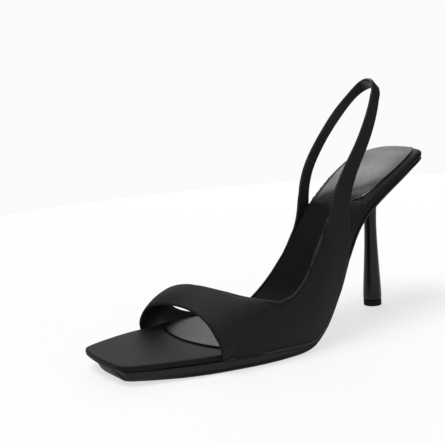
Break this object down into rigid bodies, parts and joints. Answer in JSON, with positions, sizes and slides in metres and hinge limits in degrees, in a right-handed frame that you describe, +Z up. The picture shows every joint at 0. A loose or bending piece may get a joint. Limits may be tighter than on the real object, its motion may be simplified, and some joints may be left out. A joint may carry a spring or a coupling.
{
  "type": "slingback sandal",
  "caption": "Left slingback sandal with an open square toe, an arched fabric vamp that runs into a thin sling strap, a padded leather insole and a slim high stiletto heel.",
  "frame": {"origin": "centre of the heel tip's underside, on the floor plane", "axes": "+X from the heel to the toe, +Y to the outer (lateral) side of this left shoe, +Z up"},
  "size_m": [0.2228, 0.0843, 0.1397],
  "materials": {
    "outsole": "satin black edge and tread",
    "insole_board": "matte black fabric wrapped over the board",
    "sock": "semi-gloss dark leather",
    "heel_pad": "semi-gloss dark leather, padded",
    "upper": "matte black satin outside, leather lining inside",
    "heel": "glossy black lacquer",
    "top_lift": "matte black"
  },
  "bodies": {
    "root": {"outsole": "outsole", "insole_board": "insole_board", "sock": "sock", "heel_pad": "heel_pad", "upper": "upper", "heel": "heel", "top_lift": "top_lift"}
  },
  "joints": []
}
